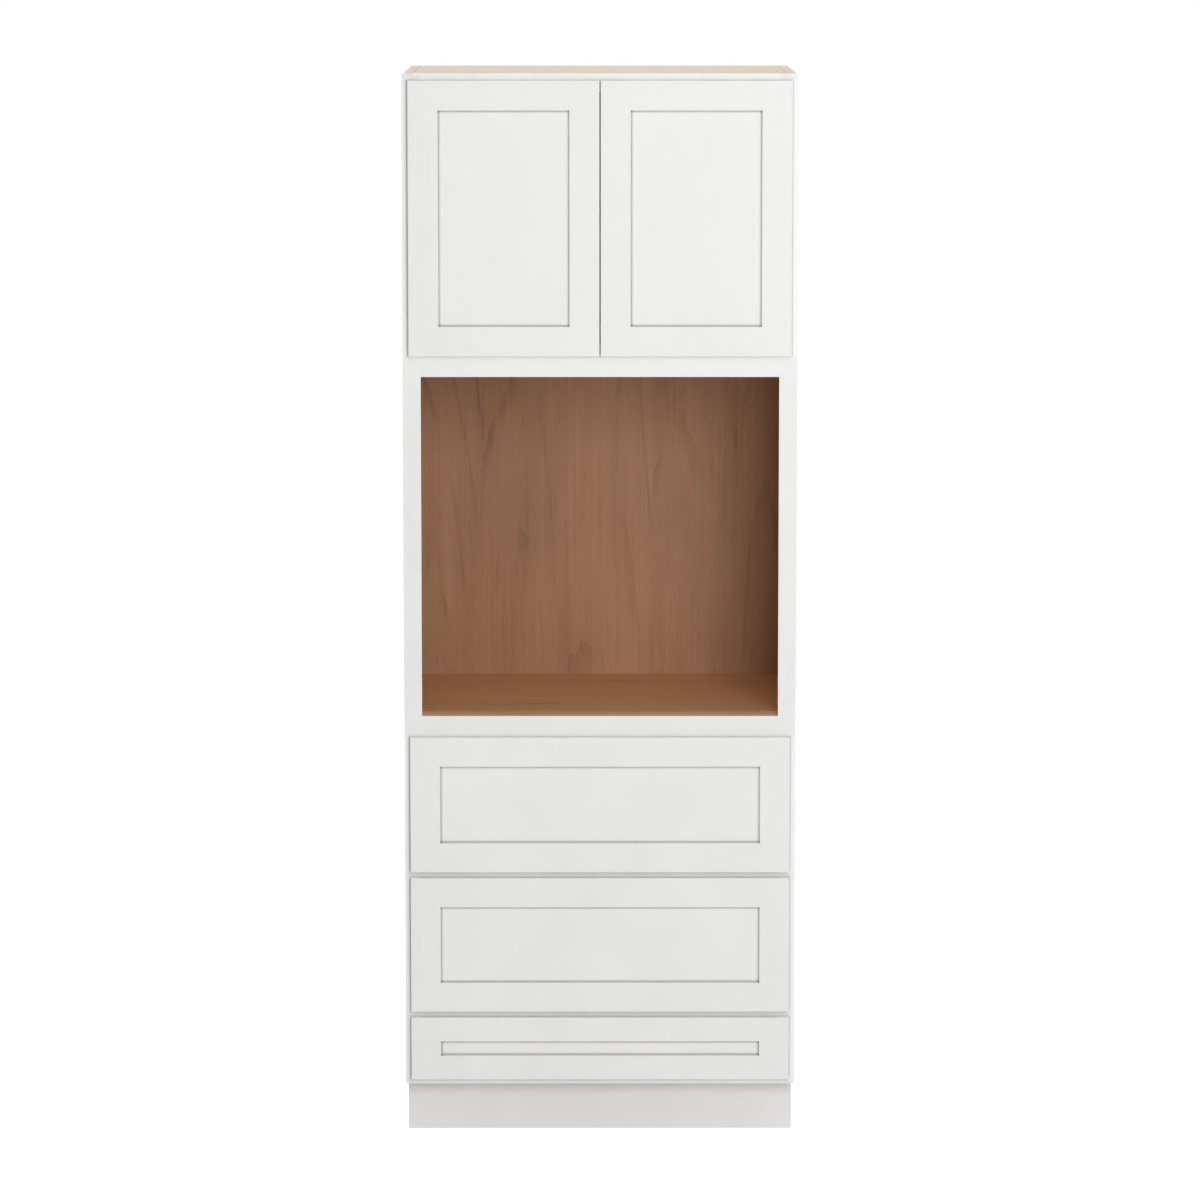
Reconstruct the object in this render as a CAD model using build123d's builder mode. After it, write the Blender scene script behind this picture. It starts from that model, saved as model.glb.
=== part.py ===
"""A tall oven cabinet: painted face frame, two shaker doors above an open oven bay, three drawers below.

Millimetres, +Z up, front towards -Y. The origin is the middle of the footprint, on the floor.
"""

import math
import os

from build123d import *

os.makedirs("parts", exist_ok=True)

# Overall sizes
width = 838.2
height = 2286.0
cabinet_depth = 609.6  # from the face frame's front to the back

# Boards
frame_thickness = 19.0
front_thickness = 19.0
panel_thickness = 18.0
back_thickness = 12.7
box_inset = 3.2  # face frame's overhang past the side panels
dado_depth = 6.0
rabbet_depth = 9.5
hanging_rail_height = 88.9

# Face frame
stile_width = 38.1
rail_height = 38.1
upper_oven_rail_height = 69.8
lower_oven_rail_height = 68.3
oven_deck_lip = 7.0  # oven deck above its rail

# Plinth
toe_height = 114.3
toe_recess = 70.0
toe_board_thickness = 12.0
kick_backer_thickness = 12.0

# Doors and drawer fronts
reveal = 12.7  # frame that shows outside the fronts
front_gap = 12.0  # between one drawer front and the next
door_gap = 2.0
bumper_gap = 2.0  # between a front's back and the face frame
door_height = 584.2
lower_front_height = 136.5
middle_front_height = 292.5
upper_front_height = 293.5
member_width = 63.5
low_rail_width = 52.4  # rails of the lowest drawer front
bevel_width = 2.0
recess_depth = 6.4
insert_thickness = 6.35
groove_depth = 10.0
insert_play = 1.0
tenon_gap = 0.5
edge_radius = 2.0

# Shelf and its pins
shelf_setback = 24.0
shelf_back_gap = 8.0
shelf_side_gap = 1.5
pin_radius = 2.5
pin_in_panel = 9.0
pin_out = 10.0
pin_collar_radius = 3.5
pin_collar = 1.0
pin_hole_depth = 10.0
pin_hole_pitch = 32.0
pin_hole_count = 7
pin_hole_used = 3
pin_hole_start = 165.0  # first hole above the compartment's floor
pin_hole_inset = 56.0  # column of holes from the frame and from the back

# Drawer boxes
drawer_side_gap = 5.0
drawer_wall = 15.9
drawer_back_gap = 65.5  # behind the box
drawer_lift = 14.0  # drawer side above the opening's bottom
drawer_bottom_rise = 12.7  # drawer bottom above the side's lower edge
drawer_bottom_thickness = 6.35
drawer_groove = 6.0
box_head_room = 20.0
dovetail_pitch = 45.0
dovetail_share = 0.62  # a tail's wide end against the pitch
dovetail_angle = 8.0
slide_notch_gap = 1.5

# Drawer slides: folded sheet channels with rollers between them
sheet = 1.5
slide_clear = 0.5  # from the frame opening's edge
slide_lift = 1.0
slide_flange_height = 30.0
slide_wall_gap = 1.1  # between the box's side and the runner
channel_width = 21.5
channel_height = 12.5
channel_lip = 3.0
base_back_gap = 37.9
middle_start = 3.5  # behind the frame's back
middle_back_gap = 20.9  # in front of the box's back
middle_lip = 1.9
middle_lift = 0.7
runner_plate_width = 22.0
runner_front_gap = 2.6
running_clear = 0.4
lip_clear = 0.6
foot_clear = 1.1
roller_radius = 2.9
roller_gap = 0.2
roller_end_gap = 0.3
axle_radius = 1.0
axle_end_gap = 0.1
roller_places = (0.06, 0.5, 0.94)
tab_gap = 2.9  # between a tab and the side panel
tab_screw_height = 16.0
bracket_sheet = 2.0
bracket_overlap = 34.0
bracket_screw_heights = (8.0, 24.0)
bracket_bottom = 2.0
clip_length = 36.0
clip_width = 22.0
clip_height = 10.0

# Door hinges, in a plan frame: u from the door's hinge edge towards its middle,
# v from the door's back face towards the cabinet. Pivots on the arm are placed
# from the frame's edge, and those on the cup from the cup's centre.
hinge_inset = 92.0  # from the door's ends to the hinge
cup_setback = 3.4  # cup's centre, over the frame's edge
cup_radius = 17.5
cup_depth = 13.0
cup_wall = 1.0
flange_rim = 1.5
flange_thickness = 0.8
wing_offset = 9.5
wing_width = 12.0
wing_length = 60.0
cup_screw_spacing = 45.0
arm_pivot_outer_place = (8.0, 2.2)
arm_pivot_inner_place = (9.4, -8.5)
cup_pivot_outer_place = (-11.5, -2.5)
cup_pivot_inner_place = (-6.7, -2.5)
inner_link_end_place = (-7.005, -4.055)
ear_place = (-13.7, -2.8)
ear_top = -0.3
fork_radius = 2.8
hinge_pin_radius = 1.0
rivet_radius = 1.5
rivet_head = 0.5
eye_radius = 2.0
sleeve_radius = 1.9
link_end_radius = 1.8
link_thickness = 2.0
link_bulge = 3.6
outer_link_half_width = 2.4
strap_band = (2.8, 4.0)  # distance of a strap's two faces from the hinge's mid-height
cheek_band = (4.4, 5.6)
stud_half_length = 5.9
arm_sheet = 1.6
arm_plate_half_height = 14.0
arm_plate_margin = 1.0  # inside the frame's two faces
arm_bridge = 1.2
arm_bridge_start = 4.0  # behind the frame's front
arm_screw_offset = 10.0
arm_width = 12.0  # from the frame's edge to the back of the arm

# Screws, bumpers and running fits
screw_radius = 2.0
cup_screw_radius = 1.75
screw_head_radius = 3.4
screw_head = 1.6
cup_screw_head = 1.1
frame_screw_length = 15.0
cup_screw_length = 11.0
back_screw_length = 10.0
bumper_radius = 4.0
bumper_thickness = 1.7
bumper_inset = 12.0
fit = 0.05  # all round a pin, a screw or a cup in its hole

# Places worked out from the sizes above
overlay = stile_width - reveal
y_front = -(cabinet_depth + bumper_gap + front_thickness) / 2
y_front_back = y_front + front_thickness
y_frame = y_front_back + bumper_gap
y_frame_back = y_frame + frame_thickness
y_back = y_frame + cabinet_depth
y_back_panel = y_back - back_thickness
y_toe = y_frame + toe_recess
y_notch = y_toe + toe_board_thickness
x_out = width / 2
x_box = x_out - box_inset
x_inner = x_box - panel_thickness
x_opening = x_out - stile_width
x_door = x_out - reveal

z_lower_front = (toe_height + reveal, toe_height + reveal + lower_front_height)
z_middle_front = (z_lower_front[1] + front_gap, z_lower_front[1] + front_gap + middle_front_height)
z_upper_front = (z_middle_front[1] + front_gap, z_middle_front[1] + front_gap + upper_front_height)
z_lower_rail = (z_lower_front[1] + z_middle_front[0] - rail_height) / 2
z_upper_rail = (z_middle_front[1] + z_upper_front[0] - rail_height) / 2
z_sill = z_upper_front[1] - overlay
z_oven_bottom = z_sill + lower_oven_rail_height
z_door = (height - reveal - door_height, height - reveal)
z_oven_head = z_door[0] + overlay
z_deck = z_oven_bottom + oven_deck_lip
z_bottom = toe_height + rail_height
z_under_top = height - panel_thickness

# Each drawer: the front's lower and upper edge, its rail's width, the opening's bottom and top
drawers = {
    "lower": (z_lower_front, low_rail_width, z_bottom, z_lower_rail),
    "middle": (z_middle_front, member_width, z_lower_rail + rail_height, z_upper_rail),
    "upper": (z_upper_front, member_width, z_upper_rail + rail_height, z_sill),
}
opening_bottoms = [drawer[2] for drawer in drawers.values()]
tab_width = x_inner - x_opening - tab_gap
slide_width = drawer_side_gap + drawer_wall + slide_wall_gap + runner_plate_width
y_box = (y_front_back, y_back_panel - drawer_back_gap)
y_base_end = y_back_panel - base_back_gap
hinge_heights = (z_door[0] + hinge_inset, z_door[1] - hinge_inset)


def bars(*limits):
    """Draws rectangles in the open sketch, each from its limits on the sketch's two axes."""
    for x0, x1, y0, y1 in limits:
        with Locations(((x0 + x1) / 2, (y0 + y1) / 2)):
            Rectangle(abs(x1 - x0), abs(y1 - y0))


def board(x, y, z):
    """A flat board between two limits on each axis."""
    with BuildPart() as piece:
        with BuildSketch(Plane.XY.offset(z[0])):
            bars((*x, *y))
        extrude(amount=z[1] - z[0])
    return piece


def save(name, *shapes):
    """Labels a finished piece, or several separate ones as a group, and writes its file."""
    solids = [solid for shape in shapes for solid in shape.solids()]
    piece = solids[0] if len(solids) == 1 else Compound(solids)
    piece.label = name
    export_step(piece, f"parts/{name}.step")


def upright(origin):
    """A plane facing the front, whose axes are +X and +Z."""
    return Plane(origin=origin, x_dir=(1, 0, 0), z_dir=(0, -1, 0))


def edgewise(origin, towards=1):
    """A plane facing along X, whose first axis is +Y."""
    return Plane(origin=origin, x_dir=(0, 1, 0), z_dir=(towards, 0, 0))


def screw(plane, head_radius, head, shank_radius, shank):
    """A screw whose head stands on the plane, with its shank along the plane's normal."""
    with BuildPart() as piece:
        with BuildSketch(plane):
            Circle(shank_radius)
        extrude(amount=shank)
        with BuildSketch(plane):
            Circle(head_radius)
        extrude(amount=-head)
        top = piece.faces().sort_by(Axis(plane.origin, plane.z_dir))[0]
        chamfer(top.edges(), length=head * 0.4)
    return piece.part


# Side panels, with dados for the three floors, a rabbet for the back and the toe notch
floors = {"upper_floor": z_oven_head, "oven_deck": z_deck, "bottom_panel": z_bottom}
z_first_hole = z_oven_head + pin_hole_start
z_pin = z_first_hole + pin_hole_used * pin_hole_pitch
hole_columns = (y_frame_back + pin_hole_inset, y_back_panel - pin_hole_inset)
with BuildPart() as left_side_panel:
    with BuildSketch(edgewise((-x_inner, 0, 0))):
        with BuildLine():
            Polyline(
                (y_notch, 0),
                (y_back, 0),
                (y_back, height),
                (y_frame_back, height),
                (y_frame_back, toe_height),
                (y_notch, toe_height),
                close=True,
            )
        make_face()
    extrude(amount=-panel_thickness)
    with BuildSketch(edgewise((-x_inner, 0, 0))):
        for top in floors.values():
            bars((y_frame_back, y_back_panel, top - panel_thickness, top))
    extrude(amount=-dado_depth, mode=Mode.SUBTRACT)
    with BuildSketch(edgewise((-x_inner, 0, 0))):
        bars((y_back_panel, y_back, 0, z_under_top))
    extrude(amount=-rabbet_depth, mode=Mode.SUBTRACT)
    with BuildSketch(edgewise((-x_inner, 0, 0))):
        for column in hole_columns:
            for row in range(pin_hole_count):
                with Locations((column, z_first_hole + row * pin_hole_pitch)):
                    Circle(pin_radius + fit)
    extrude(amount=-pin_hole_depth, mode=Mode.SUBTRACT)
save("left_side_panel", left_side_panel.part)
save("right_side_panel", mirror(left_side_panel.part, about=Plane.YZ))

# Floors, let into the sides by the dado's depth, and the top between the sides
for floor_name, top in floors.items():
    reach = x_inner + dado_depth
    floor = board((-reach, reach), (y_frame_back, y_back_panel), (top - panel_thickness, top))
    save(floor_name, floor.part)
top_panel = board((-x_inner, x_inner), (y_frame_back, y_back), (z_under_top, height))
save("top_panel", top_panel.part)

# Back, in the sides' rabbets and under the top, with holes for the slides' rear screws
y_bracket = y_back_panel - bracket_sheet
bracket_screws = [
    Plane(origin=(side * (x_opening + tab_width / 2), y_bracket, bottom + rise), z_dir=(0, 1, 0))
    for side in (-1, 1)
    for bottom in opening_bottoms
    for rise in bracket_screw_heights
]
back_reach = x_inner + rabbet_depth
with BuildPart() as back_panel:
    with BuildSketch(upright((0, y_back_panel, 0))):
        bars((-back_reach, back_reach, 0, z_under_top))
    extrude(amount=-back_thickness)
    for plane in bracket_screws:
        with BuildSketch(plane):
            Circle(screw_radius + fit)
        extrude(amount=back_screw_length, mode=Mode.SUBTRACT)
save("back_panel", back_panel.part)

# Rails inside the back that the wall screws go through
y_hanging = (y_back_panel - panel_thickness, y_back_panel)
hanging_rails = [
    board((-x_inner, x_inner), y_hanging, (top - hanging_rail_height, top))
    for top in (z_under_top, z_deck - panel_thickness)
]
save("hanging_rails", *[rail.part for rail in hanging_rails])

# Toe kick in the side panels' notches, and the board behind it that props the bottom panel
toe_kick = board((-x_box, x_box), (y_toe, y_notch), (0, toe_height))
save("toe_kick", toe_kick.part)
kick_backer = board(
    (-x_inner, x_inner),
    (y_notch, y_notch + kick_backer_thickness),
    (0, z_bottom - panel_thickness),
)
save("kick_backer", kick_backer.part)


def hinge_plan(side, z):
    """The plan plane of a hinge, whose axes are u and v."""
    return Plane(origin=(side * x_door, y_front_back, z), x_dir=(-side, 0, 0), z_dir=(0, 0, -side))


# Screw places on the stiles: hinge arms on the opening's edge, slide tabs on the back
x_arm_face = x_opening - arm_sheet
arm_screws = {
    side: [
        edgewise((side * x_arm_face, y_frame + frame_thickness / 2, z + offset), side)
        for z in hinge_heights
        for offset in (-arm_screw_offset, arm_screw_offset)
    ]
    for side in (-1, 1)
}
tab_screws = {
    side: [
        upright((side * (x_opening + tab_width / 2), y_frame_back + sheet, bottom + tab_screw_height))
        for bottom in opening_bottoms
    ]
    for side in (-1, 1)
}

# Face frame
for side, side_name in ((-1, "left"), (1, "right")):
    with BuildPart() as stile:
        with BuildSketch(Plane.XY.offset(toe_height)):
            bars((side * x_out, side * x_opening, y_frame, y_frame_back))
        extrude(amount=height - toe_height)
        outside = stile.faces().sort_by(Axis.Y)[0].edges().sort_by(Axis((0, 0, 0), (side, 0, 0)))[-1]
        fillet(outside, radius=edge_radius / 2)
        for plane in arm_screws[side] + tab_screws[side]:
            with BuildSketch(plane):
                Circle(screw_radius + fit)
            extrude(amount=frame_screw_length, mode=Mode.SUBTRACT)
    save(f"{side_name}_stile", stile.part)
frame_rails = {
    "top_rail": (height - rail_height, height),
    "upper_oven_rail": (z_oven_head - upper_oven_rail_height, z_oven_head),
    "lower_oven_rail": (z_sill, z_oven_bottom),
    "upper_drawer_rail": (z_upper_rail, z_upper_rail + rail_height),
    "lower_drawer_rail": (z_lower_rail, z_lower_rail + rail_height),
    "bottom_rail": (toe_height, z_bottom),
}
for rail_name, limits in frame_rails.items():
    rail = board((-x_opening, x_opening), (y_frame, y_frame_back), limits)
    save(rail_name, rail.part)

# Adjustable shelf on four collared pins
z_shelf = z_pin + pin_radius
shelf_x = x_inner - shelf_side_gap
adjustable_shelf = board(
    (-shelf_x, shelf_x),
    (y_frame_back + shelf_setback, y_back_panel - shelf_back_gap),
    (z_shelf, z_shelf + panel_thickness),
)
save("adjustable_shelf", adjustable_shelf.part)
with BuildPart() as shelf_pins:
    for column in hole_columns:
        with BuildSketch(edgewise((-x_inner - pin_in_panel, column, z_pin))):
            Circle(pin_radius)
        extrude(amount=pin_in_panel + pin_out)
        with BuildSketch(edgewise((-x_inner, column, z_pin))):
            Circle(pin_collar_radius)
        extrude(amount=pin_collar)
    mirror(about=Plane.YZ)
save("shelf_pins", shelf_pins.part)

# Slide heights above the opening's bottom, and places inboard of the opening's edge
h_channel = slide_lift + channel_height
h_web = slide_lift + sheet
h_low_roller = h_web + roller_gap + roller_radius
h_middle = h_low_roller + roller_radius + roller_gap
h_high_roller = h_middle + sheet + roller_gap + roller_radius
h_foot = h_high_roller + roller_radius + roller_gap
h_middle_top = h_foot + sheet + foot_clear + sheet
h_runner = drawer_lift + drawer_bottom_rise
w_channel = (slide_width - channel_width, slide_width)
w_middle = (w_channel[0] + sheet + running_clear, w_channel[1] - sheet - running_clear)
lip_reach = sheet + channel_lip + lip_clear
w_track = (w_channel[0] + lip_reach, w_channel[1] - lip_reach)
w_foot = (w_track[0] + sheet + running_clear, w_track[1] - sheet - running_clear)
neck_reach = sheet + middle_lip + running_clear
w_neck = (w_track[0] + neck_reach, w_track[1] - neck_reach)
runner_middle = (w_channel[0] + w_channel[1]) / 2
w_plate = (slide_width - runner_plate_width, slide_width)
y_middle = y_frame_back + middle_start
middle_length = y_box[1] - middle_back_gap - y_middle
y_runner = y_box[0] + drawer_wall + runner_front_gap
y_rollers = [y_middle + share * middle_length for share in roller_places]


def slide_section(y, bottom):
    """A plane across a left-hand slide, measured from the opening's lower left corner."""
    return upright((-x_opening, y, bottom))


# Slide bases: an angle beside the opening, a channel under the drawer and a tab on the stile
with BuildPart() as slide_bases:
    for bottom in opening_bottoms:
        with BuildSketch(slide_section(y_frame_back, bottom)):
            bars(
                (slide_clear, slide_clear + sheet, slide_lift, slide_flange_height),
                (slide_clear, slide_width, slide_lift, h_web),
                (w_channel[0], w_channel[0] + sheet, slide_lift, h_channel),
                (w_channel[1] - sheet, w_channel[1], slide_lift, h_channel),
                (w_channel[0], w_channel[0] + sheet + channel_lip, h_channel - sheet, h_channel),
                (w_channel[1] - sheet - channel_lip, w_channel[1], h_channel - sheet, h_channel),
            )
        extrude(amount=y_frame_back - y_base_end)
        with BuildSketch(slide_section(y_frame_back, bottom)):
            bars((-tab_width, slide_clear + sheet, slide_lift, slide_flange_height))
        extrude(amount=-sheet)
    for plane in tab_screws[-1]:
        with BuildSketch(plane):
            Circle(screw_radius + fit)
        extrude(amount=sheet, mode=Mode.SUBTRACT)
    mirror(about=Plane.YZ)
save("slide_bases", slide_bases.part)

# Rear brackets, beside the bases and flat on the back panel
y_bracket_start = y_base_end - bracket_overlap
with BuildPart() as slide_brackets:
    for bottom in opening_bottoms:
        with BuildSketch(slide_section(y_bracket_start, bottom)):
            bars((slide_clear - bracket_sheet, slide_clear, bracket_bottom, slide_flange_height))
        extrude(amount=y_bracket_start - y_back_panel)
        with BuildSketch(slide_section(y_bracket, bottom)):
            bars((-tab_width, slide_clear, bracket_bottom, slide_flange_height))
        extrude(amount=-bracket_sheet)
    for plane in bracket_screws:
        with BuildSketch(plane):
            Circle(screw_radius + fit)
        extrude(amount=bracket_sheet, mode=Mode.SUBTRACT)
    mirror(about=Plane.YZ)
save("slide_brackets", slide_brackets.part)

# Screws through the arms, the tabs and the rear brackets
frame_screws = [
    screw(plane, screw_head_radius, screw_head, screw_radius, frame_screw_length)
    for side in (-1, 1)
    for plane in arm_screws[side] + tab_screws[side]
]
frame_screws += [
    screw(plane, screw_head_radius, screw_head, screw_radius, back_screw_length) for plane in bracket_screws
]
save("frame_screws", *frame_screws)

# Bumpers on the frame, behind the doors' meeting corners and the drawer fronts' upper corners
bumper_places = [(bumper_inset, z_door[0] + bumper_inset), (bumper_inset, z_door[1] - bumper_inset)]
bumper_places += [(x_door - bumper_inset, drawer[0][1] - bumper_inset) for drawer in drawers.values()]
with BuildPart() as bumpers:
    with BuildSketch(upright((0, y_frame, 0))):
        for x, z in bumper_places:
            with Locations((x, z), (-x, z)):
                Circle(bumper_radius)
    extrude(amount=bumper_thickness)
save("bumpers", bumpers.part)

# Hinge places in the plan frame
cup_centre = overlay - cup_setback
arm_pivot_outer = (overlay + arm_pivot_outer_place[0], arm_pivot_outer_place[1])
arm_pivot_inner = (overlay + arm_pivot_inner_place[0], arm_pivot_inner_place[1])
cup_pivot_outer = (cup_centre + cup_pivot_outer_place[0], cup_pivot_outer_place[1])
cup_pivot_inner = (cup_centre + cup_pivot_inner_place[0], cup_pivot_inner_place[1])
inner_link_end = (cup_centre + inner_link_end_place[0], inner_link_end_place[1])
u_arm = (overlay, overlay + arm_sheet, overlay + arm_width)
v_arm = (bumper_gap + arm_plate_margin, bumper_gap + frame_thickness - arm_plate_margin)
v_bridge = bumper_gap + arm_bridge_start

# Hinge arm: a plate on the frame's edge, two cheeks with the pivots and a bridge behind them
with BuildPart() as hinge_arm:
    for low in (cheek_band[0], -cheek_band[1]):
        with BuildSketch(Plane.XY.offset(low)):
            with BuildLine():
                Polyline(
                    (u_arm[1], v_arm[1]),
                    (u_arm[1], v_arm[0] + 1.0),
                    (arm_pivot_outer[0] - 2.0, arm_pivot_outer[1] - 1.7),
                    (arm_pivot_inner[0] - 2.0, arm_pivot_inner[1] - 0.3),
                    (arm_pivot_inner[0] - 1.2, arm_pivot_inner[1] - 1.8),
                    (arm_pivot_inner[0] + 0.8, arm_pivot_inner[1] - 1.8),
                    (arm_pivot_inner[0] + 1.9, arm_pivot_inner[1]),
                    (u_arm[2] - 0.4, arm_pivot_outer[1] + 0.3),
                    (u_arm[2], v_bridge + 2.0),
                    (u_arm[2], v_arm[1]),
                    close=True,
                )
            make_face()
            with Locations(arm_pivot_outer, arm_pivot_inner):
                Circle(hinge_pin_radius + fit, mode=Mode.SUBTRACT)
        extrude(amount=cheek_band[1] - cheek_band[0])
    with BuildSketch(Plane.XY):
        bars((u_arm[2] - arm_bridge, u_arm[2], v_bridge, v_arm[1]))
    extrude(amount=cheek_band[1], both=True)
    with BuildSketch(Plane.XY):
        bars((u_arm[0], u_arm[1], *v_arm))
    extrude(amount=arm_plate_half_height, both=True)
    with BuildSketch(edgewise((u_arm[1], bumper_gap + frame_thickness / 2, 0))):
        with Locations((0, arm_screw_offset), (0, -arm_screw_offset)):
            Circle(screw_radius + fit)
    extrude(amount=-arm_sheet, mode=Mode.SUBTRACT)

# Hinge cup, let into the door, with two ears that carry the links
with BuildPart() as hinge_cup:
    with BuildSketch(upright((cup_centre, 0, 0))):
        Circle(cup_radius)
    extrude(amount=cup_depth)
    with BuildSketch(upright((cup_centre, 0, 0))):
        Circle(cup_radius + flange_rim)
        with Locations((wing_offset, 0)):
            Rectangle(wing_width, wing_length)
    extrude(amount=-flange_thickness)
    corners = hinge_cup.edges().filter_by(Axis.Y).group_by(Axis.Z)
    fillet(corners[0] + corners[-1], radius=wing_width / 4)
    with BuildSketch(upright((cup_centre, flange_thickness, 0))):
        Circle(cup_radius - cup_wall)
    extrude(amount=flange_thickness + cup_depth - cup_wall, mode=Mode.SUBTRACT)
    with BuildSketch(upright((cup_centre + wing_offset, flange_thickness, 0))):
        with GridLocations(0, cup_screw_spacing, 1, 2):
            Circle(cup_screw_radius + fit)
    extrude(amount=flange_thickness, mode=Mode.SUBTRACT)
    for low in (cheek_band[0], -cheek_band[1]):
        with BuildSketch(Plane.XY.offset(low)):
            bars((cup_centre + ear_place[0], cup_centre + ear_place[1], cup_wall / 2 - cup_depth, ear_top))
            with Locations(cup_pivot_outer):
                Circle(hinge_pin_radius + fit, mode=Mode.SUBTRACT)
            with Locations(cup_pivot_inner):
                Circle(fork_radius, mode=Mode.SUBTRACT)
        extrude(amount=cheek_band[1] - cheek_band[0])


def rivet(place):
    """A hinge pin with a head on the outside of each cheek or ear."""
    with BuildPart() as piece:
        with BuildSketch(Plane.XY):
            with Locations(place):
                Circle(hinge_pin_radius)
        extrude(amount=cheek_band[1], both=True)
        for face, away in ((cheek_band[1], 1), (-cheek_band[1], -1)):
            with BuildSketch(Plane.XY.offset(face)):
                with Locations(place):
                    Circle(rivet_radius)
            extrude(amount=away * rivet_head)
    return piece.part


# Outer link: a bowed bar between two eyes
outer_ends = [Vector(*arm_pivot_outer), Vector(*cup_pivot_outer)]
outer_middle = (outer_ends[0] + outer_ends[1]) / 2
bow = (outer_ends[1] - outer_ends[0]).rotate(Axis.Z, 90).normalized() * link_bulge
with BuildPart() as outer_link:
    with BuildSketch(Plane.XY):
        with BuildLine():
            ThreePointArc(outer_ends[0], outer_middle + bow, outer_ends[1])
        trace(line_width=link_thickness)
        with Locations(*outer_ends):
            Circle(eye_radius)
            Circle(hinge_pin_radius + fit, mode=Mode.SUBTRACT)
    extrude(amount=outer_link_half_width, both=True)

# Inner link: two straps on a sleeve, with studs at the far end that ride in the cup's forks
with BuildPart() as inner_link:
    for low in (strap_band[0], -strap_band[1]):
        with BuildSketch(Plane.XY.offset(low)):
            with BuildLine():
                Line(arm_pivot_inner, inner_link_end)
            trace(line_width=link_thickness)
            with Locations(arm_pivot_inner):
                Circle(sleeve_radius)
            with Locations(inner_link_end):
                Circle(link_end_radius)
        extrude(amount=strap_band[1] - strap_band[0])
    with BuildSketch(Plane.XY):
        with Locations(arm_pivot_inner):
            Circle(sleeve_radius)
    extrude(amount=strap_band[0], both=True)
    for low in (strap_band[0], -stud_half_length):
        with BuildSketch(Plane.XY.offset(low)):
            with Locations(inner_link_end):
                Circle(hinge_pin_radius)
        extrude(amount=stud_half_length - strap_band[0])
    with BuildSketch(Plane.XY):
        with Locations(arm_pivot_inner):
            Circle(hinge_pin_radius + fit)
    extrude(amount=strap_band[1], both=True, mode=Mode.SUBTRACT)

# Every hinge's pieces, moved to their places
cup_screws = [
    screw(
        upright((cup_centre + wing_offset, flange_thickness, z)),
        screw_head_radius,
        cup_screw_head,
        cup_screw_radius,
        cup_screw_length,
    )
    for z in (-cup_screw_spacing / 2, cup_screw_spacing / 2)
]
door_pieces = [hinge_cup.part, rivet(cup_pivot_outer), *cup_screws]
places = {side: [hinge_plan(side, z).location for z in hinge_heights] for side in (-1, 1)}
every_place = places[-1] + places[1]
save("hinge_arms", *[hinge_arm.part.moved(place) for place in every_place])
arm_rivets = [rivet(arm_pivot_outer), rivet(arm_pivot_inner)]
save("hinge_pins", *[piece.moved(place) for place in every_place for piece in arm_rivets])
for side, side_name in ((-1, "left"), (1, "right")):
    save(f"{side_name}_outer_links", *[outer_link.part.moved(place) for place in places[side]])
    save(f"{side_name}_inner_links", *[inner_link.part.moved(place) for place in places[side]])
    cups = [piece.moved(place) for place in places[side] for piece in door_pieces]
    save(f"{side_name}_door_hinge_cups", *cups)


def member(plane, face_width, length, rounded):
    """A frame member: the plane's first axis points inwards, and the outermost face edges are rounded."""
    inside = face_width + bevel_width
    with BuildPart() as piece:
        with BuildSketch(plane):
            with BuildLine():
                Polyline(
                    (0, 0),
                    (face_width, 0),
                    (inside, recess_depth),
                    (inside - groove_depth, recess_depth),
                    (inside - groove_depth, recess_depth + insert_thickness),
                    (inside, recess_depth + insert_thickness),
                    (inside, front_thickness),
                    (0, front_thickness),
                    close=True,
                )
            make_face()
        extrude(amount=length)
        face_edges = piece.faces().sort_by(Axis.Y)[0].edges()
        fillet(face_edges.sort_by(Axis(plane.origin, plane.x_dir))[:rounded], radius=edge_radius)
    return piece.part


def framed_front(x, z, rail_width):
    """The left and right stile, the bottom and top rail and the panel of one front."""
    groove = member_width + bevel_width - groove_depth
    rail_groove = rail_width + bevel_width - groove_depth
    left = member(Plane((x[0], y_front, z[0]), (1, 0, 0), (0, 0, 1)), member_width, z[1] - z[0], 3)
    right = member(Plane((x[1], y_front, z[1]), (-1, 0, 0), (0, 0, -1)), member_width, z[1] - z[0], 3)
    between = (x[0] + member_width, x[1] - member_width)
    rails = []
    for start, z_edge, inwards in ((between[1], z[0], 1), (between[0], z[1], -1)):
        plane = Plane((start, y_front, z_edge), (0, 0, inwards), (-inwards, 0, 0))
        with BuildPart() as rail:
            add(member(plane, rail_width, between[1] - between[0], 1))
            add([left, right], mode=Mode.SUBTRACT)
            with BuildSketch(upright((0, y_front + recess_depth, 0))):
                for x_edge, way in ((x[0], 1), (x[1], -1)):
                    tip = x_edge + way * (groove + tenon_gap)
                    root = x_edge + way * (member_width + bevel_width)
                    bars((tip, root, z_edge, z_edge + inwards * rail_groove))
            extrude(amount=-insert_thickness)
        rails.append(rail.part)
    with BuildPart() as insert:
        with BuildSketch(upright((0, y_front + recess_depth, 0))):
            inset = groove + insert_play
            rail_inset = rail_groove + insert_play
            bars((x[0] + inset, x[1] - inset, z[0] + rail_inset, z[1] - rail_inset))
        extrude(amount=-insert_thickness)
    return left, right, *rails, insert.part


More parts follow.
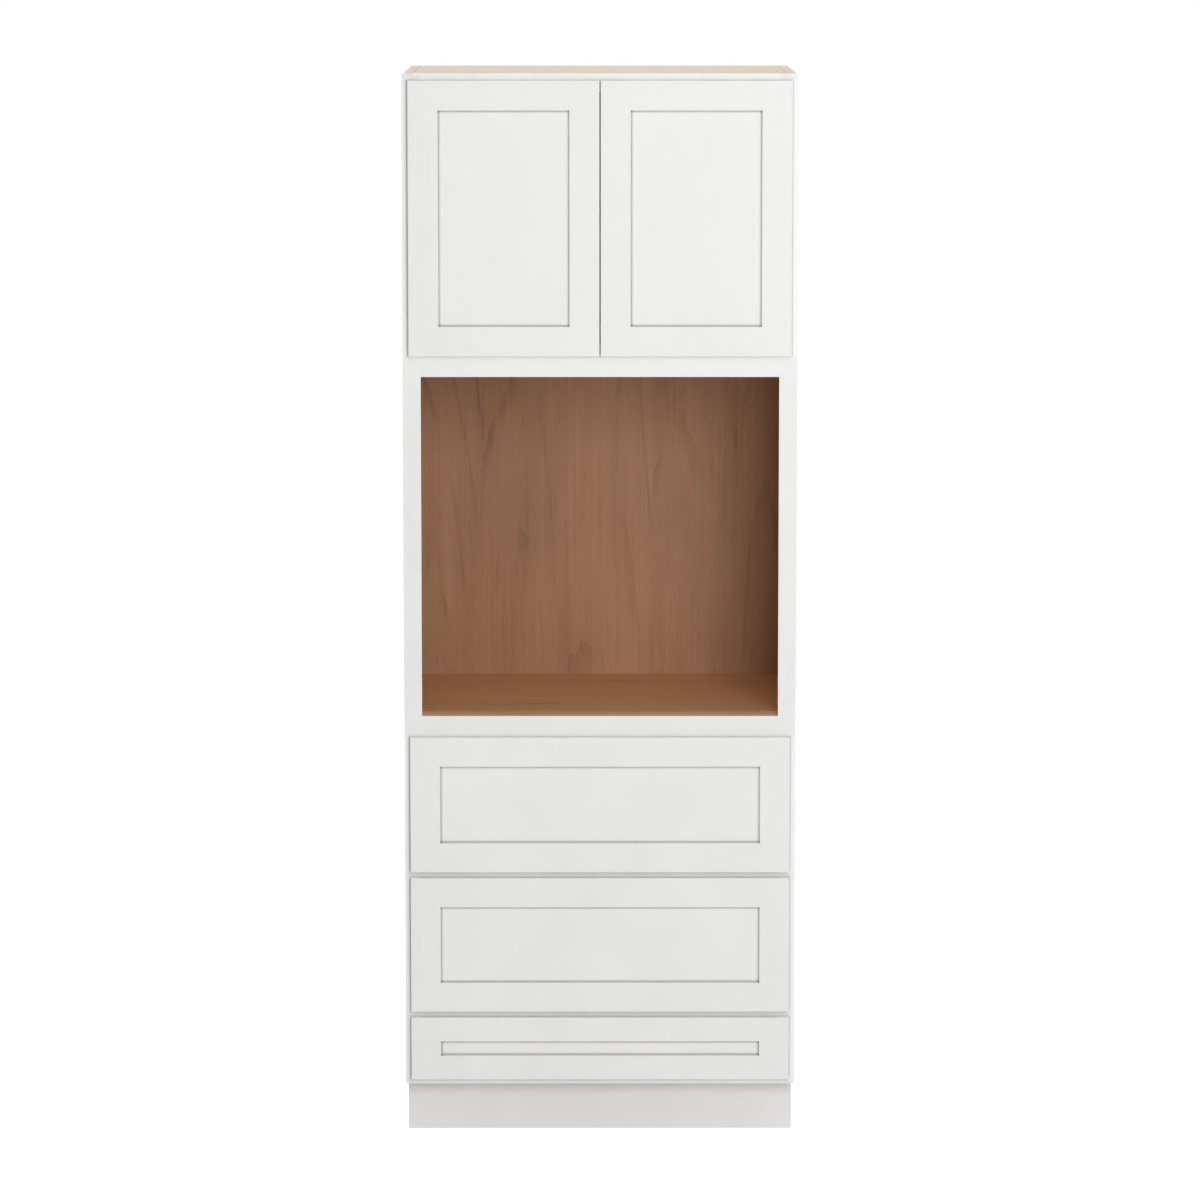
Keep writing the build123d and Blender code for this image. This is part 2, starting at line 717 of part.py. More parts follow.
# Doors: the hinge stiles are bored for the cups and their screws
for side, side_name in ((-1, "left"), (1, "right")):
    x_limits = sorted((side * x_door, side * door_gap / 2))
    left, right, bottom_rail, top_rail, insert = framed_front(x_limits, z_door, member_width)
    with BuildPart() as hinge_stile:
        add(left if side < 0 else right)
        for z in hinge_heights:
            cup_place = (side * (x_door - cup_centre), y_front_back, z)
            with BuildSketch(upright(cup_place)):
                Circle(cup_radius + fit)
            extrude(amount=cup_depth + fit, mode=Mode.SUBTRACT)
            screw_place = (side * (x_door - cup_centre - wing_offset), y_front_back, z)
            with BuildSketch(upright(screw_place)):
                with GridLocations(0, cup_screw_spacing, 1, 2):
                    Circle(cup_screw_radius + fit)
            extrude(amount=cup_screw_length, mode=Mode.SUBTRACT)
    save(f"{side_name}_door_hinge_stile", hinge_stile.part)
    save(f"{side_name}_door_meeting_stile", right if side < 0 else left)
    save(f"{side_name}_door_bottom_rail", bottom_rail)
    save(f"{side_name}_door_top_rail", top_rail)
    save(f"{side_name}_door_panel", insert)


# Drawers
for drawer_name, (z_front, rail_width, bottom, opening_top) in drawers.items():
    *frame, insert = framed_front((-x_door, x_door), z_front, rail_width)
    save(f"{drawer_name}_drawer_front_frame", *frame)
    save(f"{drawer_name}_drawer_front_panel", insert)

    # Box: a bottom let into four walls that are dovetailed together
    x_side = x_opening - drawer_side_gap
    z_box = (bottom + drawer_lift, opening_top - box_head_room)
    z_sheet = z_box[0] + drawer_bottom_rise
    let_in = drawer_wall - drawer_groove
    box_bottom = board(
        (let_in - x_side, x_side - let_in),
        (y_box[0] + let_in, y_box[1] - let_in),
        (z_sheet, z_sheet + drawer_bottom_thickness),
    )
    box_height = z_box[1] - z_box[0]
    tails = max(1, int(box_height / dovetail_pitch))
    spacing = box_height / tails
    wide = spacing * dovetail_share / 2
    narrow = wide - drawer_wall * math.tan(math.radians(dovetail_angle))
    with BuildPart() as left_wall:
        with BuildSketch(edgewise((-x_side, 0, 0))):
            bars((y_box[0] + drawer_wall, y_box[1] - drawer_wall, *z_box))
            for tail in range(tails):
                z = z_box[0] + (tail + 0.5) * spacing
                for end, way in ((y_box[0], 1), (y_box[1], -1)):
                    root = end + way * drawer_wall
                    outline = [(end, z - wide), (end, z + wide), (root, z + narrow), (root, z - narrow)]
                    with BuildLine():
                        Polyline(*outline, close=True)
                    make_face()
        extrude(amount=drawer_wall)
        add(box_bottom.part, mode=Mode.SUBTRACT)
    right_wall = mirror(left_wall.part, about=Plane.YZ)
    box_walls = [left_wall.part, right_wall]
    for y_end, notched in ((y_box[0], False), (y_box[1] - drawer_wall, True)):
        with BuildPart() as end_wall:
            with BuildSketch(upright((0, y_end, 0))):
                bars((-x_side, x_side, *z_box))
            extrude(amount=-drawer_wall)
            add([left_wall.part, right_wall, box_bottom.part], mode=Mode.SUBTRACT)
            if notched:
                notch = (w_channel[0] - slide_notch_gap, w_channel[1] + slide_notch_gap)
                with BuildSketch(upright((0, y_end, 0))):
                    for side in (-1, 1):
                        edges = [side * (x_opening - w) for w in notch]
                        bars((*edges, z_box[0], z_sheet))
                extrude(amount=-drawer_wall, mode=Mode.SUBTRACT)
        box_walls.append(end_wall.part)
    save(f"{drawer_name}_drawer_box_walls", *box_walls)
    save(f"{drawer_name}_drawer_box_bottom", box_bottom.part)

    # Runners under the box, each with a clip behind the front wall
    with BuildPart() as slide_runners:
        with BuildSketch(slide_section(y_runner, bottom)):
            bars(
                (*w_foot, h_foot, h_foot + sheet),
                (w_neck[0], w_neck[0] + sheet, h_foot, h_runner),
                (w_neck[1] - sheet, w_neck[1], h_foot, h_runner),
                (*w_plate, h_runner - sheet, h_runner),
            )
        extrude(amount=y_runner - y_box[1])
        mirror(about=Plane.YZ)
    with BuildPart() as clips:
        with BuildSketch(slide_section(y_runner, bottom)):
            bars((slide_width, slide_width + clip_width, h_runner - clip_height, h_runner))
        extrude(amount=-clip_length)
        mirror(about=Plane.YZ)
    save(f"{drawer_name}_drawer_slide_runners", slide_runners.part, clips.part)

    # Middle members, and the rollers that turn on axles in their walls
    with BuildPart() as middles:
        with BuildSketch(slide_section(y_middle, bottom)):
            bars(
                (*w_middle, h_middle, h_middle + sheet),
                (w_middle[0], w_middle[0] + sheet, h_web + middle_lift, h_middle),
                (w_middle[1] - sheet, w_middle[1], h_web + middle_lift, h_middle),
                (w_track[0], w_track[0] + sheet, h_middle, h_middle_top),
                (w_track[1] - sheet, w_track[1], h_middle, h_middle_top),
                (w_track[0], w_track[0] + sheet + middle_lip, h_middle_top - sheet, h_middle_top),
                (w_track[1] - sheet - middle_lip, w_track[1], h_middle_top - sheet, h_middle_top),
            )
        extrude(amount=-middle_length)
        for height_up in (h_low_roller, h_high_roller):
            for y in y_rollers:
                with BuildSketch(edgewise((-x_opening, y, bottom + height_up))):
                    Circle(axle_radius + fit)
                extrude(amount=slide_width, mode=Mode.SUBTRACT)
        mirror(about=Plane.YZ)
    with BuildPart() as rollers:
        for walls, height_up in ((w_middle, h_low_roller), (w_track, h_high_roller)):
            half = (walls[1] - walls[0]) / 2
            for y in y_rollers:
                for radius, end_gap in ((roller_radius, sheet + roller_end_gap), (axle_radius, axle_end_gap)):
                    with BuildSketch(edgewise((runner_middle - x_opening, y, bottom + height_up))):
                        Circle(radius)
                    extrude(amount=half - end_gap, both=True)
        mirror(about=Plane.YZ)
    save(f"{drawer_name}_drawer_slide_middles", middles.part, rollers.part)
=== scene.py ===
# %% [markdown]
# # A tall oven cabinet
# This notebook gives a finished look to a kitchen cabinet whose shape is already made: a painted
# face frame with two doors, an open bay for a built-in oven and three drawers. The shape arrives as
# a fixed frame of named nodes, in metres, with the front towards -Y and the floor at zero. What is
# left to do here is a camera, a studio, and a finish for every board, hinge, slide and screw.

# %% Load the frame
import math
from functools import partial

import bpy
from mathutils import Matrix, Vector


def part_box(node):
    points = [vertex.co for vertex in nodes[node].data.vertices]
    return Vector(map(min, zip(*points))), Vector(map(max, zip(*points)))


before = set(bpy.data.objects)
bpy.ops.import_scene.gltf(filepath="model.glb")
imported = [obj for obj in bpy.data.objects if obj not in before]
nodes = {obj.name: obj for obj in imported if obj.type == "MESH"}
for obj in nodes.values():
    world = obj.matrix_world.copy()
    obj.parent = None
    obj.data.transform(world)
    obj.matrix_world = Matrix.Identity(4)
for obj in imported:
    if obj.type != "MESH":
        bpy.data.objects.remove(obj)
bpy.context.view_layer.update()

# %% [markdown]
# ## Camera
# A tall cabinet is usually photographed from far off with a long lens, so that its sides stay
# nearly parallel. Here the eye is 11.4 m in front and a little above the cabinet's top: a thin
# strip of the top shows, and the floor of the oven bay. The camera is turned by pointing it at a
# spot on the face frame, which is easier to read than three angles.

# %% Camera
eye = Vector((-0.026, -11.734, 2.631))
aim = Vector((0.0, -0.294, 1.167))
camera = bpy.data.objects.new("camera", bpy.data.cameras.new("camera"))
bpy.context.scene.collection.objects.link(camera)
camera.location = eye
camera.rotation_euler = (aim - eye).to_track_quat("-Z", "Y").to_euler()
camera.data.sensor_width = 36.0
camera.data.lens = 162.0
camera.data.clip_end = 60.0
bpy.context.scene.camera = camera
tilt = math.degrees(math.asin((eye - aim).normalized().z))
print("the camera looks down by", round(tilt, 2), "degrees")

# %% [markdown]
# ## Helpers for materials
# Paint and wood charts give colours as sRGB hex values, but shader nodes work in linear light, so
# one function converts them. Another adds one node, sets it up and links it, and every material
# below is made with it.
#
# Patterns read Object coordinates, which stay with the piece when a door swings or a drawer runs
# out. A noise texture repeats its blobs about once per unit, so if the place on the piece is
# counted in steps of, say, 30 mm, its blobs come out 30 mm wide. Steps of another length along one
# axis stretch them that way, and another order of the axes turns the whole pattern.

# %% Helpers
def linear(hex_colour):
    """A hex sRGB colour as the linear values that shader nodes take."""
    shown = [int(hex_colour[i : i + 2], 16) / 255 for i in (1, 3, 5)]
    light = [c / 12.92 if c <= 0.04045 else ((c + 0.055) / 1.055) ** 2.4 for c in shown]
    return (*light, 1.0)


def add_node(tree, kind, inputs=(), stops=(), **settings):
    """Adds a shader node. An input that is a node or a socket is linked, any other is a value."""
    made = tree.nodes.new("ShaderNode" + kind)
    for name, value in settings.items():
        setattr(made, name, value)
    for index, (position, colour) in enumerate(stops):
        elements = made.color_ramp.elements
        element = elements[index] if index < len(elements) else elements.new(position)
        element.position, element.color = position, linear(colour)
    for name, value in inputs.items() if isinstance(inputs, dict) else enumerate(inputs):
        value = value.outputs[0] if isinstance(value, bpy.types.Node) else value
        if isinstance(value, bpy.types.NodeSocket):
            tree.links.new(value, made.inputs[name])
        else:
            made.inputs[name].default_value = value
    return made


def new_finish(name):
    """A new empty material, and a function that adds nodes to it."""
    material = bpy.data.materials.new(name)
    material.use_nodes = True
    material.node_tree.nodes.clear()
    return material, partial(add_node, material.node_tree)


def place_in(add, steps, order="XYZ"):
    """The place on the piece, its axes in this order, counted in steps of these millimetres."""
    place = add("SeparateXYZ", {"Vector": add("TexCoord").outputs["Object"]})
    turned = add("CombineXYZ", [place.outputs[axis] for axis in order])
    return add("VectorMath", (turned, [step / 1000 for step in steps]), operation="DIVIDE")


print("pale card in linear light:", [round(c, 3) for c in linear("#E8E8E7")[:3]])

# %% [markdown]
# ## White satin lacquer
# The frame, the doors and the drawer fronts are hardwood with a sprayed white catalysed lacquer,
# cured to a satin sheen. A sprayed coat is smooth but never optically flat: it dries with a faint
# orange peel, and its gloss drifts a little from place to place. Real peel has cells of 1 to 3 mm,
# about a pixel of the main picture, so it is drawn here at 5 mm with 0.03 mm of height. Lacquer is
# a plastic film, so its index of refraction is about 1.5 and its roughness near 0.4 for satin.
#
# Two things happen at edges. Outer edges are rubbed a little glossier by hands and cloths. Inner
# corners are darkened in the colour itself, a painted shade that draws the fine grey line round
# every recessed panel and beside every door. Ambient Occlusion finds both: it counts how much of
# the space near a point is filled, looking outwards for inner corners and inwards for outer edges.
# Only corners that show are wanted, not the ones behind a shut door, so the painted shade is kept
# to the places further from the middle than a given distance.

# %% White satin lacquer
rub_width = 0.0015
painted_shade_width = 0.006
peel_height = 0.00003


def white_lacquer(name, bright, shaded, painted_corner_shade=0.0, axis="Y", beyond=0.0):
    """Sprayed satin lacquer between two close whites, with painted shade in inner corners past a
    distance.
    """
    material, add = new_finish(name)
    place = partial(place_in, add)
    drift = add("TexNoise", {"Vector": place((160, 160, 220)), "Scale": 1.0, "Detail": 3.0})
    peel = add("TexNoise", {"Vector": place((5, 5, 5)), "Scale": 1.0, "Detail": 1.0})
    dust = add("TexNoise", {"Vector": place((1.2, 1.2, 1.2)), "Scale": 1.0, "Detail": 1.0})
    colour = add("ValToRGB", {"Fac": drift}, stops=((0.3, shaded), (0.7, bright)))
    # painted shade: where Ambient Occlusion finds the space filled, the colour is made darker
    if painted_corner_shade:
        corner = add("AmbientOcclusion", {"Distance": painted_shade_width}, samples=8)
        filled = add("Math", (1.0, corner.outputs["AO"]), operation="SUBTRACT")
        millimetres = add("SeparateXYZ", {"Vector": place((1, 1, 1))})
        out = add("Math", (millimetres.outputs[axis],), operation="ABSOLUTE")
        shown = add("Math", (out, beyond), operation="GREATER_THAN")
        shade = add("Math", (filled, shown), operation="MULTIPLY")
        kept = add("Math", (shade, -painted_corner_shade, 1.0), operation="MULTIPLY_ADD")
        colour = add("VectorMath", {0: colour, "Scale": kept}, operation="SCALE")
    rubbed = add(
        "AmbientOcclusion", {"Distance": rub_width}, samples=4, inside=True, only_local=True
    )
    # The roughness comes to about 0.41 on a flat face, and less on a rubbed edge.
    rough = add("Math", (rubbed.outputs["AO"], 0.08, 0.24), operation="MULTIPLY_ADD")
    rough = add("Math", (drift, 0.12, rough), operation="MULTIPLY_ADD")
    film = add("Math", (dust, 0.15, peel), operation="MULTIPLY_ADD")
    surface = {
        "Base Color": colour,
        "Roughness": add("Math", (dust, 0.06, rough), operation="MULTIPLY_ADD"),
        "Normal": add("Bump", {"Height": film, "Distance": peel_height}),
        "IOR": 1.5,
    }
    add("OutputMaterial", {"Surface": add("BsdfPrincipled", surface)})
    return material


whites = ("#EEEEED", "#EAEAE9")
panel_face = -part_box("left_door_panel")[0].y * 1000
front_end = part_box("right_door_hinge_stile")[1].x * 1000
lacquer = white_lacquer("white satin lacquer", *whites)
# painted shade in the corners of the recesses, and beside the fronts on the stiles, stronger on the
# right stile
recess_painted_shade_lacquer = white_lacquer(
    "white satin lacquer with painted shade in a recess", *whites, 1.45, "Y", beyond=panel_face - 0.3
)
own_lacquers = {
    "left_stile": white_lacquer(
        "white satin lacquer of the left stile, with painted shade", *whites, 0.85, "X", beyond=front_end
    ),
    "right_stile": white_lacquer(
        "white satin lacquer of the right stile, with painted shade", *whites, 1.1, "X", beyond=front_end
    ),
    # painted highlight: the top rail takes a whiter copy of the lacquer for the extra light it
    # shows
    "top_rail": white_lacquer("whiter satin lacquer of the top rail, a painted highlight", "#F7F7F6", "#F2F2F1"),
}
print("corners are shaded past", round(panel_face, 1), "mm to the front and", end=" ")
print(round(front_end, 1), "mm to the side")

# %% [markdown]
# ## Growth rings
# The cabinet's box is plywood faced with sliced maple veneer, and the drawer boxes are solid maple.
# Every board is a slice through a log, so one recipe can draw them all: the distance from the
# log's middle makes the rings, and a middle that drifts slowly along the grain turns them into the
# arches of a plain-sliced leaf. Veneer leaves lie side by side, each with its own middle and tone.
# A maple ring ends in a thin darker line, which comes and goes, so it is masked with soft noise.

# %% Growth rings
ring_width = 13.0
middle_drift = 60.0
leaf_lift = 90.0
log_taper = 0.03
ring_waver = 4.0


def growth_rings(add, order, leaf):
    """A leaf's tone, and the dark lines where rings end, both from 0 to 1."""
    place = partial(place_in, add, order=order)
    bend = add("TexNoise", {"Vector": place((240, 240, 1500)), "Scale": 1.0, "Detail": 1.0})
    waver = add("TexNoise", {"Vector": place((30, 30, 420)), "Scale": 1.0, "Detail": 1.0})
    fade = add("TexNoise", {"Vector": place((40, 40, 320)), "Scale": 1.0, "Detail": 1.0})
    axis = add("SeparateXYZ", {"Vector": place((1, 1, 1))}).outputs

    across = add("Math", (axis["X"], 1 / leaf, 0.37), operation="MULTIPLY_ADD")
    leaf_number = add("Math", (across,), operation="FLOOR")
    leaf_tone = add("TexWhiteNoise", {"W": leaf_number}, noise_dimensions="1D")
    part_of_leaf = add("Math", (across,), operation="FRACT")
    centred = add("Math", (part_of_leaf, 0.5), operation="SUBTRACT")
    sideways = add("Math", (centred, leaf), operation="MULTIPLY")
    sideways = add("Math", (bend, middle_drift, sideways), operation="MULTIPLY_ADD")

    rise = add("Math", (axis["Z"], log_taper, axis["Y"]), operation="MULTIPLY_ADD")
    rise = add("Math", (leaf_tone, leaf_lift, rise), operation="MULTIPLY_ADD")
    rise = add("Math", (bend, middle_drift, rise), operation="MULTIPLY_ADD")
    from_middle = add("VectorMath", (add("CombineXYZ", (sideways, rise)),), operation="LENGTH")
    distance = from_middle.outputs["Value"]
    radius = add("Math", (waver, ring_waver, distance), operation="MULTIPLY_ADD")
    rings = add("Math", (radius, 1 / ring_width), operation="MULTIPLY")
    ring = add("Math", (rings,), operation="FRACT")

    late_wood = {"Value": ring, "From Min": 0.72, "From Max": 0.98}
    line = add("MapRange", late_wood, interpolation_type="SMOOTHERSTEP")
    shown = add("MapRange", {"Value": fade, "From Min": 0.44, "From Max": 0.60})
    return leaf_tone, add("Math", (line, shown), operation="MULTIPLY")


print("rings", ring_width, "mm wide")

# %% [markdown]
# ## Maple
# Over the rings go fine fibres, sparse dark flecks and broad patches. Maple is even and pale, so
# all of them stay faint. Real fibres are about 0.2 mm wide, finer than a pixel, so the fibres are
# drawn 1.5 mm wide. On a face across the grain the fibres become dots and the rings arcs, as in
# real end grain, which also drinks more finish and looks darker. The clear finish is a dull satin.

# %% Maple
fibre_height = 0.00004
painted_seam_shade = 0.5


def maple(name, order, shades, leaf=190.0, end_grain=False, roughness=0.55, seam=None):
    """Maple whose axes are, in order: across the grain, through the board, along the grain."""
    material, add = new_finish(name)
    place = partial(place_in, add, order=order)
    leaf_tone, ring_line = growth_rings(add, order, leaf)
    length = 2.0 if end_grain else 110.0
    broad = add("TexNoise", {"Vector": place((70, 70, 420)), "Scale": 1.0, "Detail": 2.0})
    streaks = add("TexNoise", {"Vector": place((6, 6, 3 * length)), "Scale": 1.0, "Detail": 3.0})
    fibres = add("TexNoise", {"Vector": place((1.5, 1.5, length)), "Scale": 1.0, "Detail": 2.0})
    spots = add("TexNoise", {"Vector": place((2.6, 2.6, length / 5)), "Scale": 1.0, "Detail": 0.5})
    flecks = add("MapRange", {"Value": spots, "From Min": 0.68, "From Max": 0.76})

    tone = add("Math", (broad, 0.45, 0.12), operation="MULTIPLY_ADD")
    lighter = ((streaks, 0.30), (fibres, 0.16), (leaf_tone, 0.10))
    darker = ((ring_line, -0.14), (flecks, -0.12))
    for pattern, strength in lighter + darker:
        tone = add("Math", (pattern, strength, tone), operation="MULTIPLY_ADD")
    dark, middle, pale = shades
    colour = add("ValToRGB", {"Fac": tone}, stops=((0.2, dark), (0.5, middle), (0.8, pale)))
    # painted shadow of a seam: past this distance along the length the colour is made darker
    if seam:
        length_way = add("SeparateXYZ", {"Vector": place((1, 1, 1))}).outputs["Z"]
        from_middle = add("Math", (length_way,), operation="ABSOLUTE")
        past_seam = add("Math", (from_middle, seam), operation="GREATER_THAN")
        kept = add("Math", (past_seam, -painted_seam_shade, 1.0), operation="MULTIPLY_ADD")
        colour = add("VectorMath", {0: colour, "Scale": kept}, operation="SCALE")
    surface = {
        "Base Color": colour,
        "Roughness": add("Math", (fibres, 0.16, roughness - 0.08), operation="MULTIPLY_ADD"),
        "Normal": add("Bump", {"Height": fibres, "Distance": fibre_height}),
        "IOR": 1.5,
    }
    add("OutputMaterial", {"Surface": add("BsdfPrincipled", surface)})
    return material


print("maple fibres", fibre_height * 1000, "mm high")

# %% [markdown]
# ## Veneers of the cabinet's box
# Inside, the veneer has a clear finish that has warmed it to a light brown, and its tones are set
# darker still as painted shade of the dim inside of the box. The floors lie with their grain from
# side to side, and their tones are set much lighter, painted light for the light they catch from
# above. Outside, the top and the back are left raw, because neither shows in a kitchen, and raw
# maple is much paler. Where the top meets a side panel, the last 2 mm of the top are darkened, a
# painted shadow of the seam between them.

# %% Veneers
# painted shade: the inside veneer is set darker than its clear finish alone would make it
clear_tones_with_painted_shade = ("#734A2B", "#9B6E48", "#AE815C")
# painted light: the floors' tones are set much lighter than the walls' for the light they catch
# from above
floor_tones_painted_lighter = ("#B0825A", "#D6A273", "#E3AF80")
band_shades = ("#7E5437", "#9A6C4B", "#AC7E5B")
raw_shades = ("#C1A47A", "#D5BD99", "#DFCAAD")
veneer = {
    order: maple(
        f"clear maple veneer along {order[2]} on {order[0]}{order[2]}", order, clear_tones_with_painted_shade
    )
    for order in ("XYZ", "YXZ", "YZX", "ZYX")
}
floor_veneer = maple("clear maple veneer of the floors, painted lighter", "YZX", floor_tones_painted_lighter)
edge_band = maple("maple edge band", "ZYX", band_shades)
raw_veneer = {
    order: maple(f"raw maple veneer along {order[2]}", order, raw_shades, roughness=0.62)
    for order in ("XYZ", "XZY")
}
# the painted seam shadow covers the last 2 mm of the top at each side
seam_width = 2.0
top_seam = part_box("top_panel")[1].x * 1000 - seam_width
top_veneer = maple("raw maple veneer of the top, with a painted seam shadow", "YZX", raw_shades, roughness=0.62, seam=top_seam)
print(len(veneer) + len(raw_veneer), "veneers, by the grain's axis and the face's plane")

# %% [markdown]
# ## Edges of plywood
# Where a panel isn't edge-banded, its edge shows the plies: thin layers that turn by a right angle
# from one to the next, so every second one shows pale long fibres and the others darker end grain.
# Thirteen plies in 18 mm makes each about 1.4 mm thick. Stripes through the thickness, with fine
# noise for fibres and pores, are enough for that.

# %% Plywood edges
ply_thickness = 1.4


def plywood_edge(name, order):
    """The layers of plywood; the order's second axis runs through the thickness."""
    material, add = new_finish(name)
    place = partial(place_in, add, order=order)
    fibres = add("TexNoise", {"Vector": place((30, 0.6, 30)), "Scale": 1.0, "Detail": 2.0})
    pores = add("TexNoise", {"Vector": place((0.9, 0.6, 0.9)), "Scale": 1.0, "Detail": 2.0})
    broad = add("TexNoise", {"Vector": place((60, 3, 60)), "Scale": 1.0, "Detail": 2.0})

    through = add("SeparateXYZ", {"Vector": place((1, 1, 1))}).outputs["Y"]
    plies = add("Math", (through, 1 / ply_thickness), operation="MULTIPLY")
    ply_number = add("Math", (plies,), operation="FLOOR")
    odd = add("Math", (ply_number, 2.0), operation="FLOORED_MODULO")
    part_of_ply = add("Math", (plies,), operation="FRACT")
    glue = add("Math", (part_of_ply, 0.0, 0.12), operation="COMPARE")

    tone = add("Mix", {"Factor": odd, "A": fibres, "B": pores})
    for pattern, strength in ((broad, 0.3), (odd, -0.16), (glue, -0.15)):
        tone = add("Math", (pattern, strength, tone), operation="MULTIPLY_ADD")
    stops = ((0.2, "#8C6A4A"), (0.55, "#C8A67E"), (0.85, "#DDC3A0"))
    surface = {
        "Base Color": add("ValToRGB", {"Fac": tone}, stops=stops),
        "Roughness": add("Math", (pores, 0.2, 0.55), operation="MULTIPLY_ADD"),
        "Normal": add("Bump", {"Height": tone, "Distance": 0.0001}),
        "IOR": 1.5,
    }
    add("OutputMaterial", {"Surface": add("BsdfPrincipled", surface)})
    return material


edges = {
    axis: plywood_edge(f"plywood edge through {axis}", order)
    for axis, order in zip("XYZ", ("YXZ", "XYZ", "XZY"))
}
print("plywood edges through", ", ".join(edges))

# %% [markdown]
# ## Dressing a board
# One board can carry several finishes: veneer on its two faces, plies on its edges, and lacquer on
# the side that shows in the room. In Blender an object has a list of material slots, and each face
# holds the number of its slot. The number can be chosen from the direction the face looks in, so
# one function dresses every board.

# %% Dress a board
def dress(name, choose):
    """Gives each face of a node the material that choose(its direction, its middle) returns."""
    mesh = nodes[name].data
    mesh.materials.clear()
    slots = []
    for face in mesh.polygons:
        material = choose(face.normal, face.center)
        if material not in slots:
            slots.append(material)
            mesh.materials.append(material)
        face.material_index = slots.index(material)
    return [material.name for material in slots]


def facing(direction):
    """The axis that a face looks along."""
    return "XYZ"[max(range(3), key=lambda axis: abs(direction[axis]))]


print("a face that looks down lies across", facing((0.0, 0.1, -0.9)))

# %% [markdown]
# ## The boards of the box
# The sides are lacquered where they show in the room and veneered inside. Their top edges are raw
# wood like the top. The floors and the shelf have a band of maple along the front edge, and every
# other edge shows its plies.

# %% Dress the boards
room_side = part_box("right_side_panel")[1].x - 0.0002


def side_finish(direction, middle):
    if direction.z > 0.5:
        return raw_veneer["XZY"]
    if facing(direction) != "X":
        return edges["X"]
    return lacquer if abs(middle.x) > room_side else veneer["YXZ"]


def top_finish(direction, middle):
    if facing(direction) != "Z":
        return edges["Z"]
    return top_veneer if direction.z > 0 else veneer["YZX"]


def floor_finish(direction, middle):
    if facing(direction) == "Z":
        return floor_veneer
    return edge_band if direction.y < -0.5 else edges["Z"]


def back_finish(direction, middle):
    if facing(direction) != "Y":
        return edges["Y"]
    return veneer["XYZ"] if direction.y < 0 else raw_veneer["XYZ"]


def rail_finish(direction, middle):
    return veneer["ZYX"] if facing(direction) == "Y" else edges["Y"]


board_finishes = {
    side_finish: ("left_side_panel", "right_side_panel"),
    top_finish: ("top_panel",),
    floor_finish: ("upper_floor", "oven_deck", "bottom_panel", "adjustable_shelf"),
    back_finish: ("back_panel",),
    rail_finish: ("hanging_rails", "kick_backer"),
}
for finish, boards in board_finishes.items():
    for name in boards:
        print(name, dress(name, finish))

# %% [markdown]
# ## Drawer boxes
# The boxes are solid maple, dovetailed at the corners: the side boards end in tails and the front
# and back boards in pins between them. Each board's grain runs along its length, so at a corner
# pale long grain and darker end grain alternate, and that is what makes a dovetail readable. The
# tails are found by their slope, as a woodworker would mark them out, and take the side's wood.

# %% Drawer boxes
solid_shades = ("#A87C54", "#CBA47A", "#DDB992")
end_shades = ("#8A6241", "#AE845C", "#C0966D")
solid = {
    "along X": maple("solid maple along X", "ZYX", solid_shades, leaf=130.0),
    "along Y": maple("solid maple along Y", "ZXY", solid_shades, leaf=130.0),
    "end of X": maple("maple end grain across X", "ZYX", end_shades, end_grain=True),
    "end of Y": maple("maple end grain across Y", "ZXY", end_shades, end_grain=True),
}
drawer_veneer = maple("clear maple veneer of the drawers", "YZX", solid_shades)
wall = 0.0159
tail_pitch = 0.045
tail_share = 0.62
tail_slope = math.tan(math.radians(8.0))
slack = 0.0001


def box_finish(low, high):
    """A chooser for the drawer box between two corners."""
    tails = max(1, int((high.z - low.z) / tail_pitch))
    spacing = (high.z - low.z) / tails

    def choose(direction, middle):
        from_end = min(middle.y - low.y, high.y - middle.y)
        in_side = high.x - abs(middle.x) < wall + slack
        if in_side and from_end < wall + slack:
            from_tail = abs((middle.z - low.z) % spacing - spacing / 2)
            in_side = from_tail < spacing * tail_share / 2 - from_end * tail_slope + slack
        if in_side:
            return solid["end of Y" if facing(direction) == "Y" else "along Y"]
        return solid["end of X" if facing(direction) == "X" else "along X"]

    return choose


for drawer in ("upper", "middle", "lower"):
    walls = f"{drawer}_drawer_box_walls"
    print(walls, dress(walls, box_finish(*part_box(walls))))
    dress(f"{drawer}_drawer_box_bottom", lambda direction, middle: drawer_veneer)

# %% [markdown]
# ## Lacquered pieces
# Everything that faces the room takes the white lacquer: the face frame, the doors, the drawer
# fronts and the board of the toe kick. A recessed panel and the steep edge round it take the kind
# with painted shade in its corners, and the edge is known by its slope. The two stiles have
# lacquers of their own with painted shade beside the fronts, and the top rail, which shows a shade
# whiter than the rest of the frame, has a whiter copy of the lacquer as a painted highlight.

# %% Lacquered pieces
edge_width, edge_depth = 2.0, 6.4
edge_slope = -edge_width / math.hypot(edge_width, edge_depth)


def front_finish(direction, middle):
    # the steep edge round a recess takes the lacquer with painted shade
    return recess_painted_shade_lacquer if abs(direction.y - edge_slope) < 0.01 else lacquer


for name, own_lacquer in own_lacquers.items():
    print(name, dress(name, lambda direction, middle: own_lacquer))
room_facing = ("stile", "_rail", "front_frame", "toe_kick")
lacquered = [name for name in nodes if name.endswith(room_facing)]
for name in lacquered:
    if name not in own_lacquers:
        print(name, dress(name, front_finish))
recessed = [name for name in nodes if name.endswith(("door_panel", "front_panel"))]
# recessed panels take the lacquer with painted shade in their corners
for name in recessed:
    dress(name, lambda direction, middle: recess_painted_shade_lacquer)
print(len(lacquered) + len(recessed), "lacquered pieces")

# %% [markdown]
# ## Plated steel
# The drawer slides and the screws are rolled sheet and wire with bright zinc on them, a cool grey
# with faint rolling streaks along the strip. The hinges and the shelf pins are nickel-plated, which
# is warmer and glossier. Both are metals, so the colour sits in the reflection: metallic 1, and the
# roughness carries the streaks and the smudges of handling. Real rolling marks are finer than a
# tenth of a millimetre, too fine to show, so they are drawn 0.8 and 1.5 mm wide.

